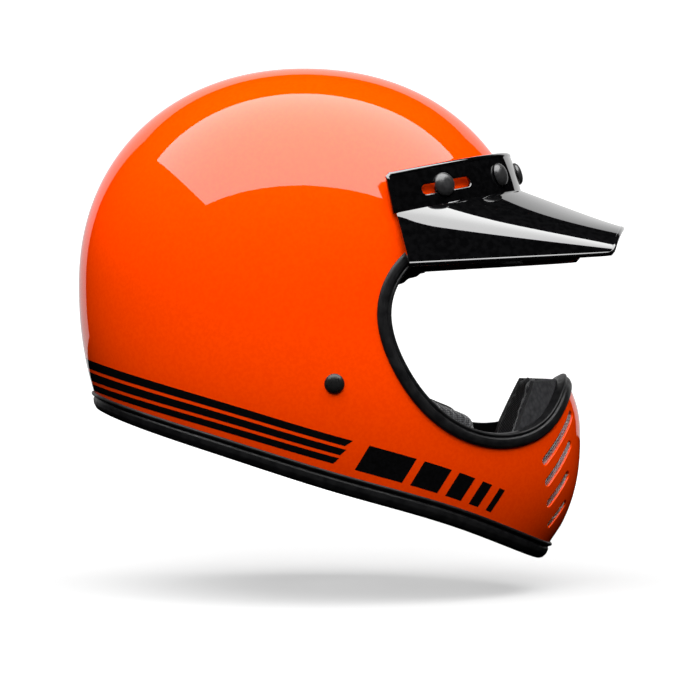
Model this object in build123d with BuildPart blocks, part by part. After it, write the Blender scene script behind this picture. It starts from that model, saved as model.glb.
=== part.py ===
"""Motocross helmet with a fixed slotted chin bar, a peak held by five snaps and a D-ring chin strap.

The frame is the wearer's: +X forward, +Y to the left, +Z up, and the origin is the middle of the head space,
on the symmetry plane at the level of the brow. Everything is in millimetres. Each piece is a separate solid
in its own STEP file.
"""

import os
from math import acos, cos, pi, radians, sin

from build123d import *

os.makedirs("parts", exist_ok=True)

# ---------------------------------------------------------------- driving dimensions
# Outer skin: every level is an egg-shaped oval whose front, back and width follow superellipses.
SKULL_RADIUS = 146.9  # half length of the dome
SKULL_HEIGHT = 140.0  # widest level of the profile up to the crown
SKULL_LEVEL = -15.0
NAPE_DEPTH = 173.0  # how far below that level the back would close
CHIN_GAIN = 31.3  # how much further forward the chin bar stands than the brow
CHIN_LEVEL = -115.0
CHIN_DEPTH = 125.6
HALF_WIDTH = 123.0
WIDTH_LEVEL = -35.0
WIDTH_ABOVE = 160.0
WIDTH_BELOW = 195.0
TAPER_TOP = 0.05  # how much narrower the front of an oval is than its back
TAPER_CHIN = 0.15

SHELL_WALL = 4.0
HOLE_FIT = 0.1  # clearance round a rivet or stud in its hole
CUT_PAST = 6.0  # how far a drilled hole starts beyond the wall it goes through
LINER_START = 6.6  # insets from the outer skin
LINER_END = 37.0
COMFORT_START = 37.4
COMFORT_END = 45.0
CHIN_LINER_END = 19.0
CHIN_PAD_START = 19.3
CHIN_PAD_END = 24.0
TRIM_PROUD = 2.2  # how far a rubber edge stands off the shell, inside and outside
TRIM_FIT = 0.2  # clearance between rubber and shell
PORT_TRIM_COVER = 7.0
PORT_TRIM_LIP = 2.5
BASE_TRIM_COVER = 5.0
BASE_TRIM_LIP = 5.0

# Base edge of the shell in side view, back to front.
BASE_EDGE = [(-190, -70), (-135, -88), (-51, -111), (21, -134), (95, -157), (152, -182), (215, -212)]
# Eye port in side view: along the brow, down behind the cheek and forward to the top of the chin bar.
PORT_EDGE = [(240, 26), (140, 20), (88, 11), (63, -1.5), (48.5, -27), (57, -64.5), (87, -99.5)]
PORT_EDGE += [(124.5, -110.5), (150, -101.5), (165.5, -79), (214, 2)]
PORT_STEPS = 16

VENT_COUNT = 4
VENT_WIDTH = 6.5
VENT_LOW = (151.0, -128.0)
VENT_LOW_STEP = (1.0, -13.8)
VENT_HIGH = (171.0, -96.5)
VENT_HIGH_STEP = (-1.4, -19.1)
SCREEN_START = 4.6
SCREEN_WALL = 0.6

# Peak: a band that wraps the brow and an arched bill that leaves it along a crease.
BAND_GAP = 3.5  # skin to the inside of the band
BAND_WALL = 3.0
BAND_SLOPE = 0.22
BAND_LOW = 15.5  # height of the crease's plane above the origin
BAND_HIGH = 41.0
BILL_WALL = 2.8
BILL_TIP = 203.4
BILL_NOSE_RADIUS = 300.0
BILL_SECTIONS = [  # X, half width and power of the arch
    (40, 121.5, 5),
    (70, 116, 3.2),
    (100, 110.5, 1.9),
    (140, 103.5, 1.8),
    (210, 91, 2),
]
RIDGE_X = 140.0  # the arch's highest line, in side view
RIDGE_Z = 46.3
RIDGE_SLOPE = -0.375
SHOULDER_X = 54.0  # the fold between the arch and the upright sides
SHOULDER_Z = 28.5
SHOULDER_SLOPE = -0.16
HEM_X = 61.5  # lower edge of the upright sides
HEM_Z = -3.9
HEM_SLOPE = 0.057
CREASE_RISE = 1.5  # how far above the crease's plane the bill still reaches into the band
BAND_OVERLAP = 5.0  # how far below the crease's plane the band reaches into the bill
BILL_BACK_EDGE = [(50.8, 60), (50.8, 52), (54, 27.5), (61.5, -3.5)]

SNAP_SLOPE = 0.176
SNAP_LEVEL = 27.4  # height of the row of snaps where it would cross the origin
SNAP_ANGLES = (0, 28, 53)  # degrees round the brow from the middle
SNAP_CAP_RADIUS = 7.4
SNAP_CAP_DOME = 3.2
SNAP_POST_RADIUS = 2.6
SNAP_STUD_RADIUS = 4.0
SLOT_WIDTH = 5.6
SLOT_LENGTH = 40.0  # only the two outer snaps have a slot, the others a round hole
SLOT_AHEAD = 3.5  # how far the slot's middle is ahead of its snap

RIVET_X = 16.0
RIVET_Z = -76.0
RIVET_HEAD = 6.0
RIVET_SHANK = 2.5
STRAP_WIDTH = 25.0
STRAP_WALL = 2.0
STRAP_EXIT_Z = -119.0
STRAP_EXIT_Y = 104.0
CHEEK_INNER = 60.0


# ---------------------------------------------------------------- outer skin
def swell(distance, reach, power):
    """Superellipse: 1 at distance 0 and 0 at distance reach."""
    return max(0.0, 1 - abs(distance / reach) ** power) ** (1 / power)


def ease(t):
    """Rises smoothly from 0 to 1, with no slope or curvature at either end."""
    t = min(1.0, max(0.0, t))
    return t**3 * (10 - 15 * t + 6 * t * t)


def oval(height, inset):
    """Centre, half length, half width and taper of the skin's oval at a height, drawn in by inset."""
    radius = SKULL_RADIUS - inset
    above = height - SKULL_LEVEL
    reach = SKULL_HEIGHT - inset if above > 0 else NAPE_DEPTH
    back = -radius * swell(above, reach, 2.15)
    if above > 0:
        front = -back
    elif height > CHIN_LEVEL:
        front = radius + CHIN_GAIN * ease(above / (CHIN_LEVEL - SKULL_LEVEL))
    else:
        front = (radius + CHIN_GAIN) * swell(height - CHIN_LEVEL, CHIN_DEPTH, 2.3)
    side = height - WIDTH_LEVEL
    width = (HALF_WIDTH - inset) * swell(side, WIDTH_ABOVE - inset if side > 0 else WIDTH_BELOW, 2.2)
    taper = TAPER_TOP + (TAPER_CHIN - TAPER_TOP) * ease(above / (CHIN_LEVEL - SKULL_LEVEL))
    return (back + front) / 2, (front - back) / 2, width, taper


def skin(height, angle, inset=0.0):
    """Point of the skin at a height and an angle in radians from straight ahead, positive to the left."""
    centre, length, width, taper = oval(height, inset)
    return Vector(centre + length * cos(angle), width * sin(angle) * (1 - taper * cos(angle)), height)


def skin_angle(x, height, inset=0.0):
    """The angle at which the skin's oval reaches a given X."""
    centre, length, _, _ = oval(height, inset)
    return acos(max(-1.0, min(1.0, (x - centre) / length)))


def skin_plane(height, angle, inset=0.0):
    """Plane that touches the skin: z outward, x round the head towards the front, y up the skin."""
    step = 0.01
    here = skin(height, angle, inset)
    forward = skin(height, angle - step, inset) - skin(height, angle + step, inset)
    up = skin(height + step, angle, inset) - skin(height - step, angle, inset)
    outward = forward.cross(up)
    if outward.dot(Vector(here.X, here.Y, 0)) < 0:
        outward = -outward
    return Plane(origin=here, x_dir=forward, z_dir=outward)


RING_STEPS = 18
CROWN_STEPS = (3, 13, 26, 42, 58, 74, 90)  # degrees down from the crown
NAPE_STEPS = 6
NAPE_STEP = 33.0
eggs = {}


def egg(inset):
    """The closed solid inside the skin, drawn in by inset, or grown where inset is negative."""
    if inset not in eggs:
        reach = SKULL_HEIGHT - inset
        levels = [SKULL_LEVEL + reach * cos(radians(a)) for a in CROWN_STEPS]
        levels += [SKULL_LEVEL - NAPE_STEP * i for i in range(1, NAPE_STEPS + 1)]
        with BuildPart() as solid:
            for level in levels:
                with BuildSketch(Plane.XY.offset(level)):
                    with BuildLine():
                        ring = [skin(level, 2 * pi * i / RING_STEPS, inset) for i in range(RING_STEPS)]
                        Spline(*[(p.X, p.Y) for p in ring], periodic=True)
                    make_face()
            loft()
        eggs[inset] = solid.part
    return eggs[inset]


SIDE = Plane.XZ  # side view: x is the frame's X and y is its Z
REACH = 200.0  # half width that any cut across the helmet spans


def side_prism(*points, smooth=()):
    """Prism across the helmet from a closed side outline: a spline through smooth, then straight points."""
    with BuildPart() as prism:
        with BuildSketch(SIDE):
            with BuildLine():
                if smooth:
                    Spline(*smooth)
                    Polyline(smooth[-1], *points, smooth[0])
                else:
                    Polyline(*points, close=True)
            make_face()
        extrude(amount=REACH, both=True)
    return prism.part


def above_base(lift):
    """Everything above the base edge raised by lift."""
    edge = [(x, z + lift) for x, z in BASE_EDGE]
    return side_prism((edge[-1][0] + 40, 200), (edge[0][0] - 40, 200), smooth=edge)


with BuildLine() as port_curve:
    Spline(*PORT_EDGE)


def port_prism(grow):
    """The eye port's opening, grown all round by grow."""
    edge = []
    for i in range(PORT_STEPS + 1):
        along = port_curve.edge().tangent_at(i / PORT_STEPS)
        spot = port_curve.edge().position_at(i / PORT_STEPS) + Vector(along.Y, -along.X) * grow
        edge.append((spot.X, spot.Y))
    return side_prism(smooth=edge)


def layer(start, end, *regions):
    """The layer between two insets of the skin, inside every region."""
    piece = egg(start)
    for region in regions:
        piece = piece & region
    return piece - egg(end)


def save(part, name):
    """Labels a finished piece and writes it as its own STEP file."""
    part.label = name
    export_step(part, f"parts/{name}.step")


# ---------------------------------------------------------------- shared cutters
base_region = above_base(0)
port_hole = port_prism(0)


def snap_height(angle):
    """Height at which the sloping row of snaps crosses the band at an angle round the brow."""
    height = SNAP_LEVEL
    for _ in range(8):
        height = SNAP_LEVEL + SNAP_SLOPE * skin(height, angle, -BAND_GAP).X
    return height


snap_spots = []
for snap_angle in SNAP_ANGLES:
    for side in (1, -1) if snap_angle else (1,):
        turn = radians(snap_angle) * side
        snap_spots.append((snap_height(turn), turn))


def snap_plane(spot, inset):
    """Plane on the skin at a snap, with every snap's axis taken from the bare shell."""
    shell_plane = skin_plane(*spot)
    return shell_plane.offset(-inset)


def rivet_plane(side, inset):
    """Plane at a strap rivet, z pointing straight out of that side of the helmet."""
    angle = skin_angle(RIVET_X, RIVET_Z)
    y = skin(RIVET_Z, angle).Y - inset
    return Plane(origin=(RIVET_X, side * y, RIVET_Z), x_dir=(1, 0, 0), z_dir=(0, side, 0))


def vent_plane(index, side):
    """Plane on the chin's skin at the middle of a vent, x along the slot, and the slot's length."""
    ends = []
    for start, step in ((VENT_LOW, VENT_LOW_STEP), (VENT_HIGH, VENT_HIGH_STEP)):
        x, z = start[0] + index * step[0], start[1] + index * step[1]
        ends.append(skin(z, side * skin_angle(x, z)))
    middle = (ends[0] + ends[1]) * 0.5
    touch = skin_plane(middle.Z, side * skin_angle(middle.X, middle.Z))
    along = ends[1] - ends[0]
    return Plane(origin=touch.origin, x_dir=along, z_dir=touch.z_dir), along.length


# ---------------------------------------------------------------- shell and rubber edges
with BuildPart() as outer_shell:
    add(layer(0, SHELL_WALL, base_region))
    add(port_hole, mode=Mode.SUBTRACT)
    for spot in snap_spots:
        with BuildSketch(snap_plane(spot, SHELL_WALL + CUT_PAST)):
            Circle(SNAP_STUD_RADIUS + HOLE_FIT)
        extrude(amount=SHELL_WALL + 2 * CUT_PAST, mode=Mode.SUBTRACT)
    for side in (1, -1):
        with BuildSketch(rivet_plane(side, SHELL_WALL + CUT_PAST)):
            Circle(RIVET_SHANK + HOLE_FIT)
        extrude(amount=SHELL_WALL + 2 * CUT_PAST, mode=Mode.SUBTRACT)
        for index in range(VENT_COUNT):
            plane, length = vent_plane(index, side)
            with BuildSketch(plane.offset(-2 * CUT_PAST)):
                SlotOverall(length, VENT_WIDTH)
            extrude(amount=4 * CUT_PAST, mode=Mode.SUBTRACT)
save(outer_shell.part, "outer_shell")

shell_slot = layer(-TRIM_FIT, SHELL_WALL + TRIM_FIT, above_base(-TRIM_FIT))
with BuildPart() as eyeport_trim:
    add(layer(-TRIM_PROUD, SHELL_WALL + TRIM_PROUD, port_prism(PORT_TRIM_COVER)))
    add(port_prism(-PORT_TRIM_LIP), mode=Mode.SUBTRACT)
    add(shell_slot - port_prism(-TRIM_FIT), mode=Mode.SUBTRACT)
save(eyeport_trim.part, "eyeport_trim")

with BuildPart() as base_trim:
    add(layer(-TRIM_PROUD, SHELL_WALL + TRIM_PROUD, above_base(-BASE_TRIM_LIP)))
    add(above_base(BASE_TRIM_COVER), mode=Mode.SUBTRACT)
    add(shell_slot, mode=Mode.SUBTRACT)
save(base_trim.part, "base_trim")

# ---------------------------------------------------------------- liners and padding
LINER_EDGE = [(-200, -48), (-100, -60), (10, -50), (32, -20), (44, 12), (84, 28), (140, 35), (220, 45)]
CHEEK_TOP = [(-74, -60), (10, -53), (30, -28), (50, -30)]
CHEEK_FRONT = [(56, -60), (64, -73), (74, -82), (86, -89), (98, -94.5), (106, -98), (108, -112), (98, -130)]
BLOCK_FRONT = [(52, -60), (63, -84), (82, -106), (92, -128)]
CHEEK_BASE = [(78, -143), (40, -132), (-20, -113), (-74, -96)]
CHIN_OUTLINE = [(119, -140), (131, -106), (143.5, -76.5), (240, -75.5), (240, -210), (150, -168), (116, -152)]

with BuildPart() as impact_liner:
    add(layer(LINER_START, LINER_END, side_prism(*LINER_EDGE, (220, 200), (-200, 200))))
save(impact_liner.part, "impact_liner")

with BuildPart() as crown_pad:
    crown_outline = [(-200, 200), (200, 200), (200, 50), (51.5, 50), (51.5, 5), (31, -24), (10, -49)]
    crown_outline += [(-100, -59), (-200, -47)]
    add(layer(COMFORT_START, COMFORT_END, side_prism(*crown_outline)))
save(crown_pad.part, "crown_pad")

with BuildPart() as brow_pad:
    brow_outline = [(52, -20), (92, -3), (125, 8), (200, 12), (200, 49.6), (52, 49.6)]
    add(layer(COMFORT_START, COMFORT_END, side_prism(*brow_outline)))
save(brow_pad.part, "brow_pad")

with BuildPart() as neck_roll:
    nape_outline = [(-200, -50), (-100, -62), (-78, -61), (-78, -94), (-135, -80), (-200, -60)]
    add(layer(LINER_START, COMFORT_END, side_prism(*nape_outline)))
save(neck_roll.part, "neck_roll")

with BuildPart() as chin_bar_liner:
    add(layer(LINER_START, CHIN_LINER_END, side_prism(*CHIN_OUTLINE)))
    for side in (1, -1):
        for index in range(VENT_COUNT):
            plane, length = vent_plane(index, side)
            with BuildSketch(plane.offset(-30)):
                SlotOverall(length + 2, VENT_WIDTH + 2)
            extrude(amount=40, mode=Mode.SUBTRACT)
save(chin_bar_liner.part, "chin_bar_liner")

with BuildPart() as chin_pad:
    chin_pad_outline = [(119, -138), (129.5, -106), (142, -75), (240, -73.5), (240, -200), (150, -164), (118, -151)]
    add(layer(CHIN_PAD_START, CHIN_PAD_END, side_prism(*chin_pad_outline)))
save(chin_pad.part, "chin_pad")

for side, label in ((-1, "right"), (1, "left")):
    with BuildPart() as vent_mesh:
        with BuildSketch(SIDE):
            with BuildLine():
                Polyline((139, -134), (164, -90), (176, -96), (176, -158), (150, -176), close=True)
            make_face()
        extrude(amount=-side * REACH)
        add(layer(SCREEN_START, SCREEN_START + SCREEN_WALL, base_region), mode=Mode.INTERSECT)
        add(port_prism(PORT_TRIM_COVER + 1), mode=Mode.SUBTRACT)
        with BuildSketch(SIDE):
            with Locations((175, -130)):
                Rectangle(80, 200)
        extrude(amount=-side * 30, mode=Mode.SUBTRACT)
    save(vent_mesh.part, f"vent_mesh_{label}")

# ---------------------------------------------------------------- cheek pads, one on each side
CHEEK_BLOCK_FACE = 84.0  # distance of the foam block's flat face from the symmetry plane
CHEEK_PAD_ROUND = 7.0
STRAP_NOTCH_RADIUS = 28.0
STRAP_CHANNEL = 30.0

cheek_prism = side_prism(*CHEEK_TOP, *BLOCK_FRONT, *CHEEK_BASE)
for side, label in ((-1, "right"), (1, "left")):
    with BuildPart() as cheek_block:
        add(egg(LINER_START) & cheek_prism)
        with Locations((0, 0, -90)):
            Box(400, 2 * CHEEK_BLOCK_FACE, 300, mode=Mode.SUBTRACT)
        with Locations((0, -side * 100, -90)):
            Box(400, 200, 300, mode=Mode.SUBTRACT)
        with Locations((RIVET_X, side * (STRAP_EXIT_Y + 20), -95)):
            Box(STRAP_CHANNEL, 54, 110, mode=Mode.SUBTRACT)
        with BuildSketch(SIDE):
            with Locations((RIVET_X, STRAP_EXIT_Z)):
                Circle(STRAP_NOTCH_RADIUS)
        extrude(amount=REACH, both=True, mode=Mode.SUBTRACT)
    save(cheek_block.part, f"cheek_block_{label}")

    with BuildPart() as cheek_pad:
        with BuildSketch(Plane.XZ.offset(-side * (CHEEK_BLOCK_FACE - 0.4))):
            with BuildLine():
                Polyline(*CHEEK_TOP, *CHEEK_FRONT, *CHEEK_BASE, close=True)
            make_face()
            with Locations((RIVET_X, STRAP_EXIT_Z)):
                Circle(STRAP_NOTCH_RADIUS, mode=Mode.SUBTRACT)
            fillet(vertices(), radius=4)
        extrude(amount=side * (CHEEK_BLOCK_FACE - CHEEK_INNER))
        inner_face = faces().sort_by(Axis.Y)[0 if side > 0 else -1]
        fillet(inner_face.edges(), radius=CHEEK_PAD_ROUND / 2)
        add(egg(LINER_START), mode=Mode.INTERSECT)
    save(cheek_pad.part, f"cheek_pad_{label}")

# ---------------------------------------------------------------- strap rivets, plates and hangers
PLATE_LENGTH = 27.0
PLATE_HEIGHT = 14.0
PLATE_WALL = 1.5
PLATE_INSET = 6.0
HANGER_INSET = PLATE_INSET + PLATE_WALL + 0.2
RIVET_FLANGE_INSET = HANGER_INSET + STRAP_WALL + 0.2


def ribbon(points, wall):
    """Outline of a strip that follows a smooth path at a constant thickness."""
    with BuildLine(mode=Mode.PRIVATE) as path:
        Spline(*points)
    steps = 4 * (len(points) - 1)
    near, far = [], []
    for i in range(steps + 1):
        along = path.edge().tangent_at(i / steps)
        spot = path.edge().position_at(i / steps)
        across = Vector(-along.Y, along.X) * (wall / 2)
        near.append((spot.X + across.X, spot.Y + across.Y))
        far.append((spot.X - across.X, spot.Y - across.Y))
    return near, far


def strip(points, wall, width, middle):
    """Webbing across the helmet: its path is drawn looking along X as (Y, Z) and its width lies along X."""
    near, far = ribbon(points, wall)
    with BuildPart() as webbing:
        with BuildSketch(Plane.YZ.offset(middle - width / 2)):
            with BuildLine():
                Spline(*near)
                Line(near[-1], far[-1])
                Spline(*far)
                Line(near[0], far[0])
            make_face()
        extrude(amount=width)
    return webbing.part


for side, label in ((-1, "right"), (1, "left")):
    rivet_y = abs(rivet_plane(side, 0).origin.Y)
    with BuildPart() as rivet:
        with BuildSketch(rivet_plane(side, -0.6)):
            Circle(RIVET_HEAD)
        extrude(amount=2.2)
        head_rim = faces().sort_by(Axis.Y)[-1 if side > 0 else 0].edges()
        fillet(head_rim, radius=1.6)
        with BuildSketch(rivet_plane(side, RIVET_FLANGE_INSET)):
            Circle(RIVET_SHANK)
        extrude(amount=RIVET_FLANGE_INSET + 0.8)
        with BuildSketch(rivet_plane(side, RIVET_FLANGE_INSET + 1.4)):
            Circle(RIVET_HEAD - 1.5)
        extrude(amount=1.4)
    save(rivet.part, f"strap_rivet_{label}")

    with BuildPart() as plate:
        with BuildSketch(rivet_plane(side, PLATE_INSET + PLATE_WALL)):
            RectangleRounded(PLATE_LENGTH, PLATE_HEIGHT, 5)
            Circle(RIVET_SHANK + HOLE_FIT, mode=Mode.SUBTRACT)
        extrude(amount=PLATE_WALL)
    save(plate.part, f"strap_anchor_plate_{label}")

    hanger_y = rivet_y - HANGER_INSET - STRAP_WALL / 2
    hang_path = [(hanger_y, -64), (hanger_y, -78), (hanger_y - 1, -90), (STRAP_EXIT_Y, STRAP_EXIT_Z - 2)]
    with BuildPart() as hanger:
        add(strip([(side * y, z) for y, z in hang_path], STRAP_WALL, STRAP_WIDTH, RIVET_X))
        with BuildSketch(rivet_plane(side, 30)):
            Circle(RIVET_SHANK + HOLE_FIT)
        extrude(amount=30, mode=Mode.SUBTRACT)
    save(hanger.part, f"strap_hanger_{label}")

# ---------------------------------------------------------------- chin strap with its two D-rings
RING_WIRE = 2.4
RING_LONG = 33.0
RING_SHORT = 15.0
RING_GAP = 0.5
EYE_Y = 57.0  # where the short strap loops round both rings
LOOP_INSIDE = 3.4
LOOP_OUTSIDE = LOOP_INSIDE + STRAP_WALL
LOOP_MIDDLE = (LOOP_INSIDE + LOOP_OUTSIDE) / 2
FAR_Y = EYE_Y - RING_SHORT + RING_WIRE
STRAP_LOW = STRAP_EXIT_Z - 13.5
STRAP_TOP_Z = -115.0
STRAP_TOP_Y = 101.4
TAIL_END = -34.0
SNAP_BUTTON_Y = -20.0


def drop_path(side, level):
    """Path of the webbing from one side's exit down to its low, level run."""
    fall = level - STRAP_TOP_Z
    high, low = STRAP_TOP_Z + 0.42 * fall, STRAP_TOP_Z + 0.84 * fall
    return [(side * STRAP_TOP_Y, STRAP_TOP_Z), (side * 100.4, high), (side * 94, low), (side * 78, level)]


long_level = STRAP_LOW + LOOP_MIDDLE
long_near, long_far = ribbon(drop_path(-1, long_level) + [(-40, long_level), (0, long_level)], STRAP_WALL)
with BuildPart() as chin_strap:
    with BuildSketch(Plane.YZ.offset(RIVET_X - STRAP_WIDTH / 2)):
        with BuildLine():
            Spline(*long_near)
            Line(long_near[-1], long_far[-1])
            Spline(*long_far)
            Line(long_near[0], long_far[0])
        make_face()
        with Locations(((FAR_Y - 0.5) / 2, long_level)):
            Rectangle(FAR_Y + 0.5, STRAP_WALL)
        with Locations(((FAR_Y + TAIL_END) / 2, STRAP_LOW - LOOP_MIDDLE)):
            Rectangle(FAR_Y - TAIL_END, STRAP_WALL)
        with Locations((FAR_Y, STRAP_LOW)):
            Circle(LOOP_OUTSIDE)
            Circle(LOOP_INSIDE, mode=Mode.SUBTRACT)
        with Locations((FAR_Y - LOOP_OUTSIDE / 2, STRAP_LOW)):
            Rectangle(LOOP_OUTSIDE, 2 * LOOP_INSIDE, mode=Mode.SUBTRACT)
    extrude(amount=STRAP_WIDTH)
save(chin_strap.part, "chin_strap")

short_path = drop_path(1, STRAP_LOW) + [(70, STRAP_LOW), (EYE_Y + LOOP_MIDDLE, STRAP_LOW)]
short_near, short_far = ribbon(short_path, STRAP_WALL)
with BuildPart() as chin_strap_short:
    with BuildSketch(Plane.YZ.offset(RIVET_X - STRAP_WIDTH / 2)):
        with BuildLine():
            Spline(*short_near)
            Line(short_near[-1], short_far[-1])
            Spline(*short_far)
            Line(short_near[0], short_far[0])
        make_face()
        with Locations((EYE_Y, STRAP_LOW)):
            Circle(LOOP_OUTSIDE)
            Circle(LOOP_INSIDE, mode=Mode.SUBTRACT)
    extrude(amount=STRAP_WIDTH)
save(chin_strap_short.part, "chin_strap_short")

for above, label in ((1, "inner"), (-1, "outer")):
    with BuildPart() as d_ring:
        with Locations((RIVET_X, (EYE_Y + FAR_Y) / 2, STRAP_LOW + above * (RING_WIRE + RING_GAP) / 2)):
            Box(RING_LONG, RING_SHORT, RING_WIRE)
            Box(RING_LONG - 2 * RING_WIRE, RING_SHORT - 2 * RING_WIRE, RING_WIRE, mode=Mode.SUBTRACT)
        far_corners = edges().filter_by(Axis.Z).group_by(Axis.Y)[0]
        fillet(far_corners, radius=6)
    save(d_ring.part, f"d_ring_{label}")

with BuildPart() as strap_snap:
    with Locations((RIVET_X, SNAP_BUTTON_Y, STRAP_LOW)):
        Cylinder(4.5, 2 * LOOP_INSIDE - 0.4)
    with Locations((RIVET_X, SNAP_BUTTON_Y, STRAP_LOW - LOOP_OUTSIDE - 0.2)):
        Cylinder(6.0, 1.8, align=(Align.CENTER, Align.CENTER, Align.MAX))
save(strap_snap.part, "strap_snap")

# ---------------------------------------------------------------- peak


def bill_arch(drop):
    """Solid under the bill: upright sides to a shoulder, then a low arch, lowered and narrowed by drop."""
    with BuildPart() as arch:
        for x, width, power in BILL_SECTIONS:
            ridge = RIDGE_Z + (x - RIDGE_X) * RIDGE_SLOPE - drop
            shoulder = SHOULDER_Z + (x - SHOULDER_X) * SHOULDER_SLOPE - drop
            hem = HEM_Z + (x - HEM_X) * HEM_SLOPE - 6
            half = width - drop
            crown = []
            for i in range(13):
                across = cos(pi * i / 12)
                crown.append((half * across, shoulder + (ridge - shoulder) * (1 - abs(across) ** power)))
            with BuildSketch(Plane.YZ.offset(x)):
                with BuildLine():
                    Spline(*crown)
                    Polyline(crown[-1], (-half, hem), (half, hem), crown[0])
                make_face()
        loft()
    return arch.part


def above_slope(level, slope, thick):
    """Slab across the helmet between a line that climbs forward and one that is thick higher."""
    start, end = -60.0, 260.0
    low = [(start, level + start * slope), (end, level + end * slope)]
    return side_prism(*low, (end, low[1][1] + thick), (start, low[0][1] + thick))


with BuildPart() as visor:
    band_low = BAND_LOW - BAND_OVERLAP
    add(egg(-BAND_GAP - BAND_WALL) & above_slope(band_low, BAND_SLOPE, BAND_HIGH - band_low))
    with BuildSketch(Plane.XY):
        with Locations((BILL_TIP - BILL_NOSE_RADIUS, 0)):
            Circle(BILL_NOSE_RADIUS)
    nose = extrude(amount=90, both=True, mode=Mode.PRIVATE)
    below_band = above_slope(BAND_LOW + CREASE_RISE - REACH, BAND_SLOPE, REACH)
    above_hem = above_slope(HEM_Z - HEM_X * HEM_SLOPE, HEM_SLOPE, REACH)
    add((bill_arch(0) - bill_arch(BILL_WALL)) & nose & below_band & above_hem)
    add(egg(-BAND_GAP), mode=Mode.SUBTRACT)
    add(side_prism(*BILL_BACK_EDGE, (61.5, -40), (-260, -40), (-260, 120), (50.8, 120)), mode=Mode.SUBTRACT)
    for spot in snap_spots:
        with BuildSketch(snap_plane(spot, CUT_PAST / 2 - BAND_GAP)):
            if abs(spot[1]) > radians(SNAP_ANGLES[-2]):
                with Locations((SLOT_AHEAD, 0)):
                    SlotOverall(SLOT_LENGTH, SLOT_WIDTH)
            else:
                Circle(SLOT_WIDTH / 2)
        extrude(amount=BAND_WALL + 2 * CUT_PAST, mode=Mode.SUBTRACT)
save(visor.part, "visor")

# ---------------------------------------------------------------- snaps
SOCKET_FLUSH = 0.2
WASHER_INSET = 4.6
WASHER_WALL = 1.2
WASHER_RADIUS = 8.0
STEM_RADIUS = 2.0
CAP_LIFT = 0.3
SNAP_NAMES = ("middle", "inner_left", "inner_right", "outer_left", "outer_right")

with BuildPart() as snap_sockets:
    for spot in snap_spots:
        with BuildSketch(snap_plane(spot, SOCKET_FLUSH)):
            Circle(SNAP_STUD_RADIUS)
        extrude(amount=-SHELL_WALL)
        with BuildSketch(snap_plane(spot, SHELL_WALL)):
            Circle(STEM_RADIUS)
        extrude(amount=-2.4)
save(snap_sockets.part, "snap_sockets")

with BuildPart() as snap_washers:
    for spot in snap_spots:
        with BuildSketch(snap_plane(spot, WASHER_INSET)):
            Circle(WASHER_RADIUS)
            Circle(STEM_RADIUS + HOLE_FIT, mode=Mode.SUBTRACT)
        extrude(amount=-WASHER_WALL)
save(snap_washers.part, "snap_washers")

cap_base = BAND_GAP + BAND_WALL + CAP_LIFT
for spot, label in zip(snap_spots, SNAP_NAMES):
    with BuildPart() as snap:
        with BuildSketch(snap_plane(spot, -cap_base)):
            Circle(SNAP_CAP_RADIUS)
        extrude(amount=SNAP_CAP_DOME)
        cap_plane = snap_plane(spot, -cap_base - SNAP_CAP_DOME)
        rim = edges().filter_by(GeomType.CIRCLE).sort_by_distance(cap_plane.origin)[0]
        fillet(rim, radius=SNAP_CAP_DOME - 0.8)
        with BuildSketch(snap_plane(spot, -0.5)):
            Circle(SNAP_POST_RADIUS)
        extrude(amount=cap_base)
    save(snap.part, f"visor_snap_{label}")
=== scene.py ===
from math import acos, cos, pi, radians, sin, sqrt

import bmesh
import bpy
import numpy as np
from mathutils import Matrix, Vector, geometry


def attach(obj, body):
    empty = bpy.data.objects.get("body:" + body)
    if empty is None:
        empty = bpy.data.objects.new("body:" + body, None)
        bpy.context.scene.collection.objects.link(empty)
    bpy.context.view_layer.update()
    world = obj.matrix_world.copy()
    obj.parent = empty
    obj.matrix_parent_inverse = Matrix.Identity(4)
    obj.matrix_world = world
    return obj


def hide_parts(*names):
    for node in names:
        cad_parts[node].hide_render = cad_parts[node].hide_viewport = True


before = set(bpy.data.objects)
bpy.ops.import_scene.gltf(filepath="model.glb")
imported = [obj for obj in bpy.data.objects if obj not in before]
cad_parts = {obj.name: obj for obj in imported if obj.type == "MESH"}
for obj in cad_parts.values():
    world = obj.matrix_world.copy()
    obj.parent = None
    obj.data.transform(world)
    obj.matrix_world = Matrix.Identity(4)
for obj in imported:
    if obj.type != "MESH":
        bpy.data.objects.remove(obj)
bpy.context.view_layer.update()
MM = 0.001

# ------------------------------------------------------------------ the shell's own shape, in mm
RADIUS, HEIGHT, LEVEL, NAPE = 146.9, 140.0, -15.0, 173.0
CHIN_GAIN, CHIN_LEVEL, CHIN_DEPTH = 31.3, -115.0, 125.6
WIDTH, WIDTH_LEVEL, WIDTH_UP, WIDTH_DOWN = 123.0, -35.0, 160.0, 195.0
DOME_POWER, CHIN_POWER, WIDTH_POWER = 2.15, 2.3, 2.2
SKEW, SKEW_GAIN, CHIN_RUN = 0.05, 0.10, 100.0
BASE_EDGE = [(-190, -70), (-135, -89), (-51, -114.5), (21, -137), (95, -160), (152, -185), (215, -214)]
PORT_EDGE = [(240, 26), (140, 20), (88, 11), (63, -1.5), (48.5, -27), (57, -64.5), (87, -99.5),
             (124.5, -110.5), (150, -101.5), (165.5, -79), (214, 2)]


def swell(d, reach, power):
    """Falls from 1 at the level of greatest size to 0 at reach."""
    return max(0.0, 1 - abs(d / reach) ** power) ** (1 / power)


def ease(t):
    """Smooth step from 0 to 1."""
    t = min(1.0, max(0.0, t))
    return t**3 * (10 - 15 * t + 6 * t * t)


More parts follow.
